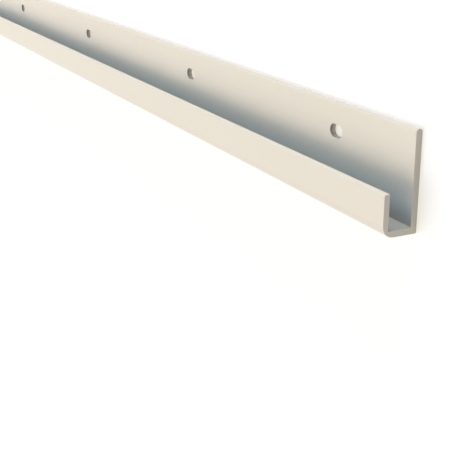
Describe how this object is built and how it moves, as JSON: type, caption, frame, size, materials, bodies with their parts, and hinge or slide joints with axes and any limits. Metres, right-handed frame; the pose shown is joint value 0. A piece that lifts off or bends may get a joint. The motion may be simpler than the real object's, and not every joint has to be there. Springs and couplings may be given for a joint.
{
  "type": "picture rail",
  "caption": "Straight J-section metal rail with slotted back plate and upturned front lip, for hanging pictures from hooks.",
  "frame": {"origin": "middle of the back face: halfway along the rail, halfway up its height, on the face that goes against the wall", "axes": "+X along the rail, +Y up the wall when mounted, from the channel's floor to the plate's rounded top, +Z out of the wall; the rail is stored lying on its back"},
  "size_m": [2, 0.041, 0.0155],
  "materials": {
    "powder_coat": "satin warm-white powder coat"
  },
  "bodies": {
    "root": {"rail": "powder_coat"}
  },
  "joints": []
}
